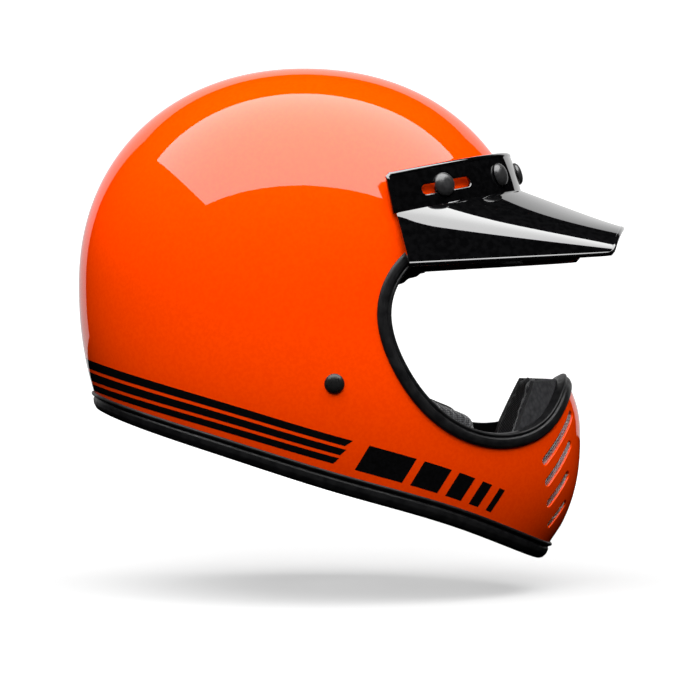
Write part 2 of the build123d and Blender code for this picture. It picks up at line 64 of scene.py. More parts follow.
def oval(z, d=0.0):
    """Section of the skin at a level, sunk by d: centre, half length, half width, narrowing at the front."""
    r, above = RADIUS - d, z - LEVEL
    back = -r * swell(above, HEIGHT - d if above > 0 else NAPE, DOME_POWER)
    if above > 0:
        front = -back
    elif z > CHIN_LEVEL:
        front = r + CHIN_GAIN * ease(-above / CHIN_RUN)
    else:
        front = (r + CHIN_GAIN) * swell(z - CHIN_LEVEL, CHIN_DEPTH, CHIN_POWER)
    side = z - WIDTH_LEVEL
    width = (WIDTH - d) * swell(side, WIDTH_UP - d if side > 0 else WIDTH_DOWN, WIDTH_POWER)
    return (back + front) / 2, (front - back) / 2, width, SKEW + SKEW_GAIN * ease(-above / CHIN_RUN)


def skin(z, a, d=0.0):
    """Point of the skin at a level and angle; the angle is 0 at the front."""
    c, l, w, k = oval(z, d)
    return Vector((c + l * cos(a), w * sin(a) * (1 - k * cos(a)), z))


def skin_angle(x, z, d=0.0):
    """Angle, left of the middle, at which the skin reaches a distance to the front."""
    c, l, _, _ = oval(z, d)
    return acos(max(-1.0, min(1.0, (x - c) / l)))


def skin_normal(z, a, d=0.0):
    """Outward normal, from short steps along and up the skin."""
    e = 0.004
    z = min(z, LEVEL + HEIGHT - d - 0.02)
    t = skin(z, a - e, d) - skin(z, a + e, d)
    u = skin(z + 0.01, a, d) - skin(z - 0.01, a, d)
    n = t.cross(u).normalized()
    p = skin(z, a, d)
    return -n if n.dot(Vector((p.x - 10, p.y, p.z + 20))) < 0 else n


def spline(points):
    """Natural cubic spline through 2-D or 3-D points, by chord length: returns f(t) for t from 0 to 1."""
    p = np.array(points, float)
    s = np.concatenate([[0], np.cumsum(np.sqrt((np.diff(p, axis=0) ** 2).sum(1)))])
    h = np.diff(s)
    n = len(p)
    m = np.zeros((n, n))
    r = np.zeros_like(p)
    m[0, 0] = m[-1, -1] = 1
    for i in range(1, n - 1):
        m[i, i - 1], m[i, i], m[i, i + 1] = h[i - 1], 2 * (h[i - 1] + h[i]), h[i]
        r[i] = 6 * ((p[i + 1] - p[i]) / h[i] - (p[i] - p[i - 1]) / h[i - 1])
    c = np.linalg.solve(m, r)

    def at(t):
        x = min(max(t, 0.0), 1.0) * s[-1]
        i = min(n - 2, max(0, int(np.searchsorted(s, x) - 1)))
        a, b = s[i + 1] - x, x - s[i]
        return (c[i] * a**3 + c[i + 1] * b**3) / (6 * h[i]) + (p[i] / h[i] - c[i] * h[i] / 6) * a + (
            p[i + 1] / h[i] - c[i + 1] * h[i] / 6) * b

    return at


base_at = spline(BASE_EDGE)
base_table = np.array([base_at(i / 400) for i in range(401)])


def base_z(x):
    """Level of the base edge."""
    return float(np.interp(x, base_table[:, 0], base_table[:, 1]))


def base_level(a, above=0.0, z=-120.0, steps=30):
    """Level of the point of the skin that lies above the base edge by a height, closed in on from a guess."""
    for _ in range(steps):
        z += 0.7 * (base_z(skin(z, a).x) + above - z)
    return z


# ------------------------------------------------------------------ mesh helpers
def new_object(name, verts, faces, body, replaces=(), normals=None):
    """Smooth-shaded mesh from points in mm, riding on a body and standing in for CAD nodes."""
    mesh = bpy.data.meshes.new(name)
    mesh.from_pydata([tuple(Vector(v) * MM) for v in verts], [], faces)
    mesh.validate()
    mesh.polygons.foreach_set("use_smooth", [True] * len(mesh.polygons))
    if normals is not None:
        mesh.normals_split_custom_set_from_vertices([tuple(n) for n in normals])
    obj = bpy.data.objects.new(name, mesh)
    bpy.context.scene.collection.objects.link(obj)
    if replaces:
        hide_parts(*replaces)
    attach(obj, body)
    return obj


def dress(obj, m):
    """Gives a piece its only material."""
    obj.data.materials.clear()
    obj.data.materials.append(m)
    return obj


def grid_faces(rows, cols, closed_rows=False, closed_cols=False):
    faces = []
    for i in range(rows if closed_rows else rows - 1):
        for j in range(cols if closed_cols else cols - 1):
            a, b = i * cols + j, i * cols + (j + 1) % cols
            c, d = ((i + 1) % rows) * cols + (j + 1) % cols, ((i + 1) % rows) * cols + j
            faces.append((a, b, c, d))
    return faces


def inside(points, loop):
    """Which 2-D points lie inside a closed loop."""
    x, y = points[:, 0], points[:, 1]
    hit = np.zeros(len(points), bool)
    for (x0, y0), (x1, y1) in zip(loop, np.roll(loop, -1, axis=0)):
        cross = (y0 > y) != (y1 > y)
        with np.errstate(divide="ignore", invalid="ignore"):
            at = x0 + (y - y0) * (x1 - x0) / (y1 - y0)
        hit ^= cross & (x < at)
    return hit


BATCH = 4000    # grid points measured at a time


def fill(grid, outer, holes, clear):
    """Triangles over a domain: grid points inside outer and outside holes, with every loop kept as edges."""
    loops = [np.array(outer)] + [np.array(h) for h in holes]
    keep = inside(grid, loops[0])
    for h in loops[1:]:
        keep &= ~inside(grid, h)
    for loop in loops:
        for k in range(0, len(grid), BATCH):
            part = grid[k:k + BATCH]
            d = np.sqrt(((part[:, None] - loop[None]) ** 2).sum(2)).min(1)
            keep[k:k + BATCH] &= d > clear
    points = [tuple(p) for loop in loops for p in loop] + [tuple(p) for p in grid[keep]]
    edges, start = [], 0
    for loop in loops:
        edges += [(start + i, start + (i + 1) % len(loop)) for i in range(len(loop))]
        start += len(loop)
    out, _, tris, *_ = geometry.delaunay_2d_cdt([Vector(p) for p in points], edges, [], 0, 1e-6)
    out = np.array([tuple(v) for v in out])
    tris = np.array(tris)
    mid = out[tris].mean(1)
    good = inside(mid, loops[0])
    for h in loops[1:]:
        good &= ~inside(mid, h)
    return out, tris[good], [len(loop) for loop in loops]


def stadium(length, width, count=56):
    """Outline of a slot, centred, along x."""
    r, s = width / 2, max(0.0, (length - width) / 2)
    pts = []
    for i in range(count):
        a = 2 * pi * (i + 0.5) / count
        pts.append((r * cos(a) + (s if cos(a) > 0 else -s), r * sin(a)))
    if s:
        steps = max(2, int(s / 2))
        top = [(s - 2 * s * (k + 1) / (steps + 1), r) for k in range(steps)]
        low = [(-s + 2 * s * (k + 1) / (steps + 1), -r) for k in range(steps)]
        q = count // 4
        pts = pts[:q] + top + pts[q:3 * q] + low + pts[3 * q:]
    return pts


def touch(z, a, d=0.0, along=None):
    """Frame on the skin: origin, x axis towards the front or along a direction, y axis, outward normal."""
    n = skin_normal(z, a, d)
    o = skin(z, a, d)
    x = along if along is not None else (skin(z, a - 0.01, d) - skin(z, a + 0.01, d)) * (1 if a >= 0 else -1)
    x = (x - n * x.dot(n)).normalized()
    return o, x, n.cross(x), n


def drop(point, fr, d=0.0):
    """Angle and level where a line along the frame's normal through a point meets the skin."""
    o, ex, ey, n = fr
    z = point.z
    a = skin_angle(point.x, z, d) * (1 if point.y >= 0 else -1)
    for _ in range(8):
        s = skin(z, a, d) - point
        f = (s.dot(ex), s.dot(ey))
        ja = (skin(z, a + 1e-4, d) - skin(z, a - 1e-4, d)) / 2e-4
        jz = (skin(z + 1e-2, a, d) - skin(z - 1e-2, a, d)) / 2e-2
        m00, m01, m10, m11 = ja.dot(ex), jz.dot(ex), ja.dot(ey), jz.dot(ey)
        det = m00 * m11 - m01 * m10
        if abs(det) < 1e-9:
            break
        a -= (m11 * f[0] - m01 * f[1]) / det
        z -= (-m10 * f[0] + m00 * f[1]) / det
    return z, a


def flat(z, a):
    """Place of a skin point in a seamless flat map of the shell."""
    above = z - LEVEL
    r = HEIGHT * acos(min(1.0, above / HEIGHT)) if above > 0 else HEIGHT * pi / 2 - above
    return r * cos(a), r * sin(a)


def unflat(p):
    """Level and angle of a point in the flat map."""
    r, a = sqrt(p[0] ** 2 + p[1] ** 2), np.arctan2(p[1], p[0])
    z = LEVEL + HEIGHT * cos(r / HEIGHT) if r < HEIGHT * pi / 2 else LEVEL - (r - HEIGHT * pi / 2)
    return z, float(a)


# ------------------------------------------------------------------ eye port and snap places
port_at = spline(PORT_EDGE)
port_2d = [port_at(i / 1200) for i in range(1201)]
on_skin = [p for p in port_2d if p[0] < sum(oval(p[1])[:2]) - 0.02]    # the rest lies in front of the skin
first, last = on_skin[0], on_skin[-1]


def even(points, step):
    """Points at even spacing along a row of points."""
    p = np.array(points, float)
    s = np.concatenate([[0], np.cumsum(np.sqrt((np.diff(p, axis=0) ** 2).sum(1)))])
    n = max(2, int(round(s[-1] / step)))
    return np.stack([np.interp(np.linspace(0, s[-1], n + 1), s, p[:, k]) for k in range(p.shape[1])], 1)


half = [skin(z, -skin_angle(x, z)) for x, z in on_skin]
brow_mid = skin(first[1], 0)
chin_mid = skin(last[1], 0)
right_half = even([tuple(brow_mid)] + [tuple(p) for p in half] + [tuple(chin_mid)], 2.5)
port_loop = [Vector(p) for p in right_half] + [Vector((p[0], -p[1], p[2])) for p in right_half[-2:0:-1]]


def angle_at(p):
    """Angle whose direction on the skin passes through a point."""
    c, l, w, k = oval(p[2])
    a = np.arctan2(p[1] / w, (p[0] - c) / l)
    for _ in range(6):
        a = np.arctan2(p[1] / (w * (1 - k * cos(a))), (p[0] - c) / l)
    return float(a)


def fair(loop, times=12):
    """Evens out a closed loop of points and puts it back on the skin."""
    pts = np.array([tuple(p) for p in loop])
    for _ in range(times):
        pts = pts * 0.5 + (np.roll(pts, 1, 0) + np.roll(pts, -1, 0)) * 0.25
    return [skin(p[2], angle_at(p)) for p in pts]


port_loop = fair(port_loop)
port_seats = [(p.z, angle_at(p)) for p in port_loop]

SNAP_TURNS = [0.0] + [radians(t) * s for t in (28, 53) for s in (1, -1)]
SNAP_LABELS = ("middle", "inner_left", "inner_right", "outer_left", "outer_right")
SNAP_LEVEL, SNAP_SLOPE, SNAP_STAND = 27.4, 0.176, 3.5
VENT_LOW, VENT_LOW_STEP = (151.0, -128.0), (1.0, -13.8)
VENT_HIGH, VENT_HIGH_STEP = (171.0, -96.5), (-1.4, -19.1)


def snap_level(a):
    """Level of a snap: the row of snaps rises towards the front."""
    z = SNAP_LEVEL
    for _ in range(8):
        z = SNAP_LEVEL + SNAP_SLOPE * skin(z, a, -SNAP_STAND).x
    return z


snap_seats = [(snap_level(a), a) for a in SNAP_TURNS]


def vent_frame(i, side):
    """Frame and length of a slot of the chin bar, counted downwards."""
    ends = []
    for (x, z), (dx, dz) in ((VENT_LOW, VENT_LOW_STEP), (VENT_HIGH, VENT_HIGH_STEP)):
        x, z = x + dx * i, z + dz * i
        ends.append(skin(z, side * skin_angle(x, z)))
    mid, along = (ends[0] + ends[1]) / 2, ends[1] - ends[0]
    z, a = mid.z, side * skin_angle(mid.x, mid.z)
    return touch(z, a, along=along), along.length


# ------------------------------------------------------------------ materials
def surface(m):
    """The material's only shader."""
    return m.node_tree.nodes["Principled BSDF"]


def material(name, color, rough, metal=0.0, coat=0.0, coat_rough=0.03, sheen=0.0, spec=0.5):
    m = bpy.data.materials.new(name)
    m.use_nodes = True
    values = {"Base Color": (*color, 1), "Roughness": rough, "Metallic": metal, "Coat Weight": coat,
              "Coat Roughness": coat_rough, "Sheen Weight": sheen, "Specular IOR Level": spec}
    for socket, value in values.items():
        surface(m).inputs[socket].default_value = value
    return m


def node(m, kind, **values):
    n = m.node_tree.nodes.new(kind)
    for k, v in values.items():
        if hasattr(n, k):
            setattr(n, k, v)
        else:
            n.inputs[k.replace("_", " ")].default_value = v
    return n


def wire(m, a, b):
    m.node_tree.links.new(a, b)


def place(m, scale=(1, 1, 1)):
    """Object coordinates in metres, scaled."""
    t = node(m, "ShaderNodeTexCoord")
    mp = node(m, "ShaderNodeMapping")
    mp.inputs["Scale"].default_value = scale
    wire(m, t.outputs["Object"], mp.inputs["Vector"])
    return mp.outputs["Vector"]


def noise(m, scale, detail):
    """Value noise in the piece's own coordinates."""
    n = node(m, "ShaderNodeTexNoise", Scale=scale, Detail=detail)
    wire(m, place(m), n.inputs["Vector"])
    return n.outputs["Fac"]


def ramp_color(m, factor, a, b, low=0.0, high=1.0):
    """Base colour between two tones by a factor."""
    r = node(m, "ShaderNodeValToRGB")
    for element, position, tone in zip(r.color_ramp.elements, (low, high), (a, b)):
        element.position, element.color = position, (*tone, 1)
    wire(m, factor, r.inputs["Fac"])
    wire(m, r.outputs["Color"], surface(m).inputs["Base Color"])


def vary_color(m, a, b, scale, detail=4.0):
    """Mottles the base colour between two close tones."""
    ramp_color(m, noise(m, scale, detail), a, b, 0.4, 0.6)


def vary_rough(m, a, b, scale):
    """Mottles the roughness between two values."""
    r = node(m, "ShaderNodeMapRange")
    r.inputs["From Min"].default_value, r.inputs["From Max"].default_value = 0.35, 0.65
    r.inputs["To Min"].default_value, r.inputs["To Max"].default_value = a, b
    wire(m, noise(m, scale, 5.0), r.inputs["Value"])
    wire(m, r.outputs["Result"], surface(m).inputs["Roughness"])


def bump(m, height, distance, strength, socket="Normal"):
    """Adds a bump to the surface or to its coat, on top of one that is there already."""
    bsdf = surface(m)
    b = node(m, "ShaderNodeBump", Strength=strength, Distance=distance)
    wire(m, height, b.inputs["Height"])
    old = bsdf.inputs[socket].links
    if old:
        wire(m, old[0].from_socket, b.inputs["Normal"])
    wire(m, b.outputs["Normal"], bsdf.inputs[socket])


def noise_bump(m, scale, distance, strength, socket="Normal"):
    """Fine unevenness."""
    bump(m, noise(m, scale, 3.0), distance, strength, socket)


orange = material("shell_orange", (1.0, 0.055, 0.0), 0.4, coat=1.0, coat_rough=0.01, spec=0.0)
vary_color(orange, (1.0, 0.058, 0.0), (0.97, 0.051, 0.0), 500, detail=2.0)
noise_bump(orange, 160, 0.00001, 0.12, socket="Coat Normal")

black_paint = material("stripe_paint", (0.002, 0.002, 0.002), 0.4, coat=1.0, coat_rough=0.02, spec=0.0)
vary_color(black_paint, (0.002, 0.002, 0.002), (0.004, 0.004, 0.0045), 700)
noise_bump(black_paint, 260, 0.00002, 0.25, socket="Coat Normal")

rubber = material("edge_rubber", (0.006, 0.006, 0.0065), 0.42, spec=0.4)
vary_color(rubber, (0.004, 0.004, 0.0045), (0.009, 0.009, 0.0095), 160)
vary_rough(rubber, 0.34, 0.5, 220)
noise_bump(rubber, 1400, 0.00004, 0.4)

peak_black = material("peak", (0.002, 0.002, 0.002), 0.03, coat=1.0, coat_rough=0.012, spec=0.9)
vary_color(peak_black, (0.0015, 0.0015, 0.0017), (0.003, 0.003, 0.0033), 300)
noise_bump(peak_black, 60, 0.00001, 0.1, socket="Coat Normal")

snap_black = material("snap_black", (0.02, 0.02, 0.021), 0.3, spec=0.9)
vary_color(snap_black, (0.016, 0.016, 0.0165), (0.026, 0.026, 0.027), 500)
noise_bump(snap_black, 2500, 0.00002, 0.5)

rivet_black = material("black_metal", (0.008, 0.008, 0.008), 0.3, spec=0.5)
vary_rough(rivet_black, 0.24, 0.4, 900)
noise_bump(rivet_black, 1800, 0.00002, 0.4)

steel = material("metal", (0.62, 0.62, 0.64), 0.28, metal=1.0)
vary_rough(steel, 0.2, 0.42, 700)
noise_bump(steel, 1500, 0.00002, 0.3)

wire_metal = material("screen", (0.75, 0.75, 0.77), 0.3, metal=1.0)
vary_rough(wire_metal, 0.2, 0.45, 1500)
noise_bump(wire_metal, 4000, 0.00001, 0.5)

foam = material("foam", (0.035, 0.035, 0.038), 0.85, spec=0.3)
beads = node(foam, "ShaderNodeTexVoronoi", Scale=320.0)
wire(foam, place(foam), beads.inputs["Vector"])
bump(foam, beads.outputs["Distance"], 0.0006, 0.6)
ramp_color(foam, beads.outputs["Distance"], (0.05, 0.05, 0.053), (0.02, 0.02, 0.022))


def woven(name, dark, light, pitch, depth, rough=0.85, sheen=0.35):
    """Knit or weave: crossed ribs at the thread pitch (mm), soft fuzz, and painted shade that darkens the
    valleys between the ribs while the crests get a painted highlight.
    """
    m = material(name, dark, rough, sheen=sheen)
    surface(m).inputs["Sheen Roughness"].default_value = 0.5
    heights = []
    for axis in ((1, 0.35, 1), (-1, 0.35, 1), (0.3, 1, -0.6)):
        v = place(m)
        d = node(m, "ShaderNodeVectorMath", operation="DOT_PRODUCT")
        wire(m, v, d.inputs[0])
        d.inputs[1].default_value = Vector(axis).normalized() * (2 * pi / (pitch * MM))
        s = node(m, "ShaderNodeMath", operation="SINE")
        wire(m, d.outputs["Value"], s.inputs[0])
        heights.append(s.outputs[0])
    mix = node(m, "ShaderNodeMath", operation="MULTIPLY")
    wire(m, heights[0], mix.inputs[0])
    wire(m, heights[1], mix.inputs[1])
    add = node(m, "ShaderNodeMath", operation="ADD")
    wire(m, mix.outputs[0], add.inputs[0])
    wire(m, heights[2], add.inputs[1])
    bump(m, add.outputs[0], depth * MM, 0.8)
    noise_bump(m, 900, 0.0001, 0.5)
    # painted shade and highlight: the base colour follows the rib height, dark in the valleys and light on
    # the crests
    r = node(m, "ShaderNodeMapRange")
    r.inputs["From Min"].default_value, r.inputs["From Max"].default_value = -1.6, 1.6
    wire(m, add.outputs[0], r.inputs["Value"])
    ramp_color(m, r.outputs["Result"], dark, light)
    return m


lining = woven("lining", (0.008, 0.008, 0.009), (0.03, 0.03, 0.033), 1.1, 0.18)
lining_mesh = woven("lining_mesh", (0.006, 0.006, 0.007), (0.05, 0.05, 0.055), 2.0, 0.35)
webbing = woven("webbing", (0.006, 0.006, 0.006), (0.025, 0.025, 0.025), 1.6, 0.25, rough=0.7)

# ------------------------------------------------------------------ shell
SHELL_WALL = 4.0
VENT_WIDTH, VENT_LIP, VENT_DEEP = 5.4, 0.8, 1.0
SNAP_HOLE, SNAP_LIP, SNAP_DEEP = 8.2, 0.25, 3.5
RING_STEP, FIRST_RING, LAST_RING = 4.0, 3, 94


def lip_loops(fr, length, width, lip, deep, d=0.0, steps=5):
    """Loops of a slot from the start of its rounded lip down into the wall: points, seats and normals."""
    o, ex, ey, n = fr
    edge = stadium(length, width)
    rows = []
    for k in range(steps + 1):
        phi = pi / 2 * k / steps
        grow = lip * (1 - sin(phi))
        row, seats, norms = [], [], []
        for (u, v), (u2, v2) in zip(edge, stadium(length + 2 * grow, width + 2 * grow)):
            z, a = drop(o + ex * u2 + ey * v2, fr, d)
            s = (length - width) / 2
            core = max(-s, min(s, u))
            out = (ex * (u - core) + ey * v).normalized()
            row.append(skin(z, a, d) - n * (lip * (1 - cos(phi))))
            seats.append((z, a))
            norms.append((skin_normal(z, a, d) * cos(phi) - out * sin(phi)).normalized())
        rows.append((row, seats, norms))
    row, seats, norms = rows[-1]
    rows.append(([p - n * deep for p in row], seats, norms))
    return rows


openings = []
for side in (1, -1):
    for i in range(4):
        fr, length = vent_frame(i, side)
        openings.append(lip_loops(fr, length - 0.6, VENT_WIDTH, VENT_LIP, VENT_DEEP))
for z, a in snap_seats:
    openings.append(lip_loops(touch(z, a), SNAP_HOLE, SNAP_HOLE, SNAP_LIP, SNAP_DEEP, steps=2))

base_loop = [(base_level(a), a) for a in np.linspace(-pi, pi, 321)[:-1]]
rings = []
for i in range(FIRST_RING, LAST_RING + 1):
    r = RING_STEP * i
    z, _ = unflat((r, 0))
    girth = 2 * pi * 0.5 * (oval(z)[1] + oval(z)[2])
    count = max(12, int(girth / RING_STEP))
    turns = [2 * pi * (j + 0.5 * (i % 2)) / count for j in range(count)]
    rings += [(r * cos(t), r * sin(t)) for t in turns]
rings += [(0.01, 0.0)]
rings += [(r * cos(j * pi / 4), r * sin(j * pi / 4)) for r in (RING_STEP, 2 * RING_STEP) for j in range(8)]
outer = [flat(z, a) for z, a in base_loop]
holes = [[flat(z, a) for z, a in port_seats]] + [[flat(z, a) for z, a in rows[0][1]] for rows in openings]
points, tris, counts = fill(np.array(rings), outer, holes, 1.6)
seats = [unflat(p) for p in points]
verts = [skin(z, a) for z, a in seats]
norms = [skin_normal(z, a) for z, a in seats]
faces = [tuple(int(k) for k in t) for t in tris]
start = counts[0] + counts[1]
for rows in openings:
    n = len(rows[0][0])
    above = list(range(start, start + n))
    start += n
    for row, _, nn in rows[1:]:
        below = list(range(len(verts), len(verts) + n))
        verts += row
        norms += nn
        faces += [(above[j], above[(j + 1) % n], below[(j + 1) % n], below[j]) for j in range(n)]
        above = below
size = len(points)
inner_start = len(verts)
verts += [v - m * SHELL_WALL for v, m in zip(verts[:size], norms[:size])]
norms += [-m for m in norms[:size]]
faces += [tuple(inner_start + int(k) for k in t[::-1]) for t in tris]
shell = new_object("shell_skin", verts, faces, "shell", ["outer_shell"])
bm = bmesh.new()
bm.from_mesh(shell.data)
bm.faces.ensure_lookup_table()
top_face = max(bm.faces, key=lambda f: f.calc_center_median().z)
if top_face.normal.z < 0:
    bmesh.ops.reverse_faces(bm, faces=list(bm.faces))
bm.to_mesh(shell.data)
bm.free()
shell.data.normals_split_custom_set_from_vertices([tuple(n) for n in norms])
dress(shell, orange)

# ------------------------------------------------------------------ rubber edges


def port_frames():
    """Frames along the eye port: place, direction away from the opening, outward normal."""
    out, n = [], len(port_loop)
    for i, p in enumerate(port_loop):
        t = (port_loop[(i + 1) % n] - port_loop[i - 1]).normalized()
        nn = skin_normal(*port_seats[i])
        b = nn.cross(t).normalized()
        out.append((p, b, nn))
    middle = sum((p for p, _, _ in out), Vector()) / n
    if sum(b.dot(p - middle) for p, b, _ in out) < 0:
        out = [(p, -b, nn) for p, b, nn in out]
    return out


def base_frames(count=400):
    """Frames along the base edge: place, direction up the skin, outward normal."""
    pts = [(base_level(a), a) for a in np.linspace(-pi, pi, count + 1)[:-1]]
    loc = [skin(z, a) for z, a in pts]
    out = []
    for i, (z, a) in enumerate(pts):
        t = (loc[(i + 1) % count] - loc[i - 1]).normalized()
        nn = skin_normal(z, a)
        b = nn.cross(t).normalized()
        out.append((loc[i], b if b.z > 0 else -b, nn))
    return out


def sweep(name, frames, profile, body, replaces=()):
    """Closed profile (across, out) carried round a closed row of frames."""
    verts = [p + b * u + n * v for p, b, n in frames for u, v in profile]
    obj = new_object(name, verts, grid_faces(len(frames), len(profile), True, True), body, replaces)
    bm = bmesh.new()
    bm.from_mesh(obj.data)
    bmesh.ops.recalc_face_normals(bm, faces=list(bm.faces))
    bm.to_mesh(obj.data)
    bm.free()
    return obj


def rounded(profile, radius=0.5, steps=3):
    """Rounds every corner of a closed 2-D outline."""
    out, n = [], len(profile)
    for i in range(n):
        p0, p, p1 = (Vector(profile[k % n]) for k in (i - 1, i, i + 1))
        a, b = (p0 - p), (p1 - p)
        r = min(radius, a.length * 0.45, b.length * 0.45)
        s, e = p + a.normalized() * r, p + b.normalized() * r
        for k in range(steps + 1):
            t = k / steps
            out.append(tuple(s * (1 - t) ** 2 + p * 2 * t * (1 - t) + e * t * t))
    return out


port_profile = rounded([(7.0, 0.05), (6.8, 1.2), (5.4, 2.0), (3.0, 2.3), (1.0, 2.0), (0.3, 1.1), (-0.3, 1.0),
                        (-0.9, 1.6), (-1.8, 1.5), (-2.4, 0.6), (-2.5, -3.6), (-2.0, -5.8), (0.0, -6.1),
                        (5.8, -6.1), (6.8, -5.6), (7.0, -4.1), (0.2, -4.1), (0.2, 0.05)], 0.6)
dress(sweep("port_edging", port_frames(), port_profile, "shell", ["eyeport_trim"]), rubber)

base_profile = rounded([(6.0, 0.05), (5.9, 1.2), (5.0, 1.8), (3.9, 1.5), (3.2, 0.6), (2.4, 0.6), (1.6, 1.7),
                        (-1.5, 2.4), (-4.8, 1.9), (-6.7, 0.2), (-7.0, -2.5), (-6.0, -5.2), (-3.0, -6.1),
                        (4.0, -6.1), (5.9, -5.5), (6.0, -4.1), (0.2, -4.1), (0.2, 0.05)], 0.6)
dress(sweep("base_edging", base_frames(), base_profile, "shell", ["base_trim"]), rubber)

# ------------------------------------------------------------------ painted stripes
PAINT = 0.06


def painted(name, rows):
    """Thin painted strip on the shell from rows of (level, angle)."""
    verts = [skin(z, a) + skin_normal(z, a) * PAINT for row in rows for z, a in row]
    norms = [skin_normal(z, a) for row in rows for z, a in row]
    faces = grid_faces(len(rows), len(rows[0]))
    centre = (verts[faces[0][1]] - verts[faces[0][0]]).cross(verts[faces[0][3]] - verts[faces[0][0]])
    if centre.dot(norms[0]) < 0:
        faces = [f[::-1] for f in faces]
    return dress(new_object(name, verts, faces, "shell", (), norms), black_paint)


# x of the front end at the top and bottom edges, then both edges' heights above the base, front and back
STRIPES = [(27.4, 22.5, 28.2, 23.6, 24.4, 18.6), (23.5, 19.6, 21.6, 17.2, 16.6, 11.2),
           (19.0, 15.5, 15.2, 10.8, 9.2, 5.4)]
STRIPE_STEPS = 160
for k, (x_top, x_low, f_top, f_low, b_top, b_low) in enumerate(STRIPES):
    rows = []
    for j in range(4):
        t = j / 3
        x_end = x_low + (x_top - x_low) * t
        z_end = base_z(x_end) + f_low + (f_top - f_low) * t
        a_end = skin_angle(x_end, z_end)
        row = []
        for i in range(STRIPE_STEPS + 1):
            a = a_end + (2 * pi - 2 * a_end) * i / STRIPE_STEPS
            back = 1 - abs(a - pi) / (pi - a_end)
            up = (f_low + (f_top - f_low) * t) * (1 - back) + (b_low + (b_top - b_low) * t) * back
            row.append((base_level(a, up, -110.0, 24), a if a <= pi else a - 2 * pi))
        rows.append(row)
    painted(f"stripe_{k + 1}", rows)

BARS = [(33, 62), (67, 84), (89, 99), (104, 110), (115, 118.5)]    # rear and front x at half height
BAR_FOOT, BAR_TALL, BAR_LEAN = 10.8, 17.4, 9.0
for side, label in ((1, "left"), (-1, "right")):
    for k, (x0, x1) in enumerate(BARS):
        rows = []
        for j in range(7):
            t = j / 6
            up = BAR_FOOT + BAR_TALL * t
            row = []
            for i in range(9):
                x = x0 + (x1 - x0) * i / 8 + BAR_LEAN * (t - 0.5)
                z = base_z(x) + up
                row.append((z, side * skin_angle(x, z)))
            rows.append(row)
        painted(f"bar_{label}_{k + 1}", rows)

# ------------------------------------------------------------------ peak: band round the brow and folded bill
BAND_WALL = 2.8
CREASE, SLOPE, TOP = 15.5, 0.22, 39.8
BAND_LEAN, BAND_STAND, BAND_FLARE = 0.022, 4.3, 4.4
SNAP_T = 0.48
BILL_BACK_X, NOSE_RADIUS, NOSE_CENTRE, NOSE_HALF = 54.0, 300.0, -96.6, 95.0
NOSE_LOW, NOSE_RISE, NOSE_POWER = 6.6, 15.4, 4.5
HEM_BACK, HEM_SHIFT, HEM_FRONT_Z = (61.5, 118.6, -3.4), 0.4, 3.6
FOLD_COLS, FOLD_ROWS, FOLD_PASSES = 5.0, 6.0, 10


def band_point(a, t, depth=0.0):
    """Point of the band at an angle, t from 0 at the crease to 1 at the top, sunk by depth."""
    a = a * (1 + BAND_LEAN * t)
    stand = BAND_STAND + BAND_FLARE * t - depth
    z = 45.0
    for _ in range(14):
        p = skin(z, a) + skin_normal(z, a) * stand
        z += 0.8 * (CREASE + (TOP - CREASE) * t + SLOPE * p.x - p.z)
    return p


def solve(low, high, goes_on):
    """Halves a range down to where goes_on turns false."""
    for _ in range(40):
        mid = (low + high) / 2
        low, high = (mid, high) if goes_on(mid) else (low, mid)
    return (low + high) / 2


REAR_A = solve(0.8, 1.5, lambda a: band_point(a, 0).x > BILL_BACK_X)
ROWS, SIDE_COLS, TOP_COLS = 40, 12, 140


def bill_surface():
    """Grid of the bill: columns from the left hem over the folds to the right hem, rows out to the nose."""
    creases = [band_point(REAR_A * (1 - 2 * j / TOP_COLS), 0) for j in range(TOP_COLS + 1)]
    noses = []
    for j in range(TOP_COLS + 1):
        y = NOSE_HALF * (1 - 2 * j / TOP_COLS)
        noses.append(Vector((NOSE_CENTRE + sqrt(NOSE_RADIUS**2 - y * y), y,
                             NOSE_LOW + NOSE_RISE * (1 - abs(y / NOSE_HALF) ** NOSE_POWER))))
    grid = np.zeros((ROWS, TOP_COLS + 1 + 2 * SIDE_COLS, 3))
    for i in range(ROWS):
        v = i / (ROWS - 1)
        strips = []
        for side, k in ((1, 0), (-1, TOP_COLS)):
            hem_back = Vector((HEM_BACK[0], side * HEM_BACK[1], HEM_BACK[2]))
            hem = hem_back.lerp(Vector((noses[k].x - HEM_SHIFT, side * NOSE_HALF, HEM_FRONT_Z)), v)
            fold = creases[k].lerp(noses[k], v)
            strips.append([hem.lerp(fold, j / SIDE_COLS) for j in range(SIDE_COLS)])
        middle = [c.lerp(n, v) for c, n in zip(creases, noses)]
        grid[i] = np.array([tuple(p) for p in strips[0] + middle + strips[1][::-1]])
    # the folds are rounded a little, less towards the band
    share = np.minimum(1.0, np.arange(ROWS) / FOLD_ROWS)[:, None]
    near = np.zeros(grid.shape[1])
    for k in (SIDE_COLS, SIDE_COLS + TOP_COLS):
        near = np.maximum(near, np.clip(1 - np.abs(np.arange(len(near)) - k) / FOLD_COLS, 0, 1))
    for _ in range(FOLD_PASSES):
        mean = (np.roll(grid, 1, 1) + np.roll(grid, -1, 1)) / 2
        pull = (share * near[None])[:, 1:-1, None]
        grid[:, 1:-1] += 0.5 * pull * (mean - grid)[:, 1:-1]
    return grid


def surface_normals(g):
    n = np.cross(np.gradient(g, axis=0), np.gradient(g, axis=1))
    return n / np.maximum(np.linalg.norm(n, axis=2, keepdims=True), 1e-9)


